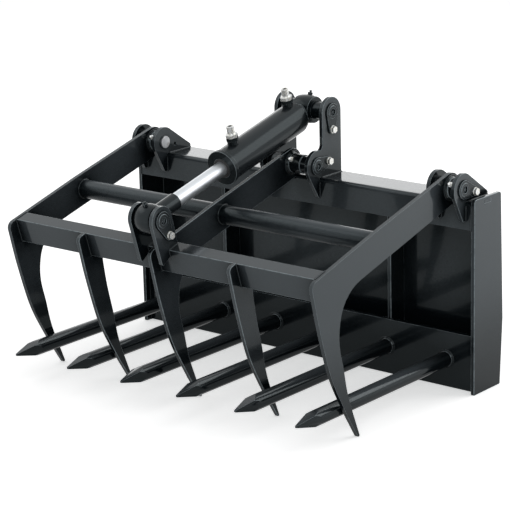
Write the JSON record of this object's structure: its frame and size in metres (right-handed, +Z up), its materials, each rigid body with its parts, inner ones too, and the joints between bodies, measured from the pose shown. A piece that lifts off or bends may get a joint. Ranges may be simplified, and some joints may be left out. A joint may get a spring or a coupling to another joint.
{
  "type": "grapple bucket",
  "caption": "Tined loader frame with a toothed jaw hinged above it; one hydraulic cylinder lifts the jaw to grip logs, brush and stones.",
  "frame": {"origin": "on the ground, under the middle of the whole object's box, with the jaw closed", "axes": "+X across the width to the side of the keeper flags, -Y out along the tines, +Y to the loader, +Z up"},
  "size_m": [1.07, 0.7171, 0.7038],
  "materials": {
    "frame_paint": "gloss black paint",
    "jaw_paint": "gloss black paint",
    "cylinder_paint": "gloss black paint",
    "pin_steel": "turned steel, partly overpainted",
    "zinc_plate": "bright zinc plate",
    "rod_chrome": "hard chrome",
    "bronze": "plain bronze",
    "seal_rubber": "matte"
  },
  "bodies": {
    "frame": {"side_plate_left": "frame_paint", "side_plate_right": "frame_paint", "hitch_plate": "frame_paint", "top_band": "frame_paint", "tine_plate": "frame_paint", "rib_left": "frame_paint", "rib_right": "frame_paint", "tine_1": "frame_paint", "tine_2": "frame_paint", "tine_3": "frame_paint", "tine_4": "frame_paint", "tine_5": "frame_paint", "tine_6": "frame_paint", "coupler_lip": "frame_paint", "coupler_ledge": "frame_paint", "coupler_pad": "frame_paint", "lip_gussets": "frame_paint", "ear_left_outer": "frame_paint", "ear_left_inner": "frame_paint", "ear_right_inner": "frame_paint", "ear_right_outer": "frame_paint", "tower_left": "frame_paint", "tower_right": "frame_paint", "anchor_spacers": "pin_steel", "pivot_pin_left": "pin_steel", "pivot_pin_centre": "pin_steel", "pivot_pin_right": "pin_steel", "anchor_pin": "pin_steel", "frame_keeper_bolts": "zinc_plate"},
    "jaw": {"arm_left": "jaw_paint", "arm_middle": "jaw_paint", "arm_right": "jaw_paint", "tooth_left": "jaw_paint", "tooth_right": "jaw_paint", "crossbeam": "jaw_paint", "cross_pipe": "jaw_paint", "hub_left": "jaw_paint", "hub_middle": "jaw_paint", "hub_right": "jaw_paint", "hub_bushings": "bronze", "hub_grease_nipples": "zinc_plate", "clevis_ear_left": "jaw_paint", "clevis_ear_right": "jaw_paint", "rod_pin": "pin_steel", "rod_keeper_bolt": "zinc_plate"},
    "cylinder_barrel": {"barrel": "cylinder_paint", "rear_eye": "cylinder_paint", "rear_eye_bushing": "bronze", "gland": "cylinder_paint", "rod_wiper": "seal_rubber", "port_bosses": "cylinder_paint", "hose_fittings": "zinc_plate", "rear_eye_nipple": "cylinder_paint"},
    "cylinder_rod": {"rod": "rod_chrome", "piston": "pin_steel", "piston_seals": "seal_rubber", "piston_nut": "zinc_plate", "rod_eye": "cylinder_paint", "rod_eye_nipple": "cylinder_paint"}
  },
  "joints": [
    {"name": "jaw_hinge", "type": "hinge", "parent": "frame", "child": "jaw", "pos_m": [0, 0.2108, 0.51], "axis": [-1, 0, 0], "range_deg": [0, 60]},
    {"name": "cylinder_swing", "type": "hinge", "parent": "frame", "child": "cylinder_barrel", "pos_m": [0, 0.2718, 0.636], "axis": [-1, 0, 0], "range_deg": [0, 55.88]},
    {"name": "rod_slide", "type": "slide", "parent": "cylinder_barrel", "child": "cylinder_rod", "axis": [0, 0.9676, 0.2526], "range_m": [0, 0.1355]}
  ],
  "couplings": [
    {"joint": "cylinder_swing", "follows": "jaw_hinge", "ratio": 0.928},
    {"joint": "rod_slide", "follows": "jaw_hinge", "m_per_rad": 0.1284}
  ]
}
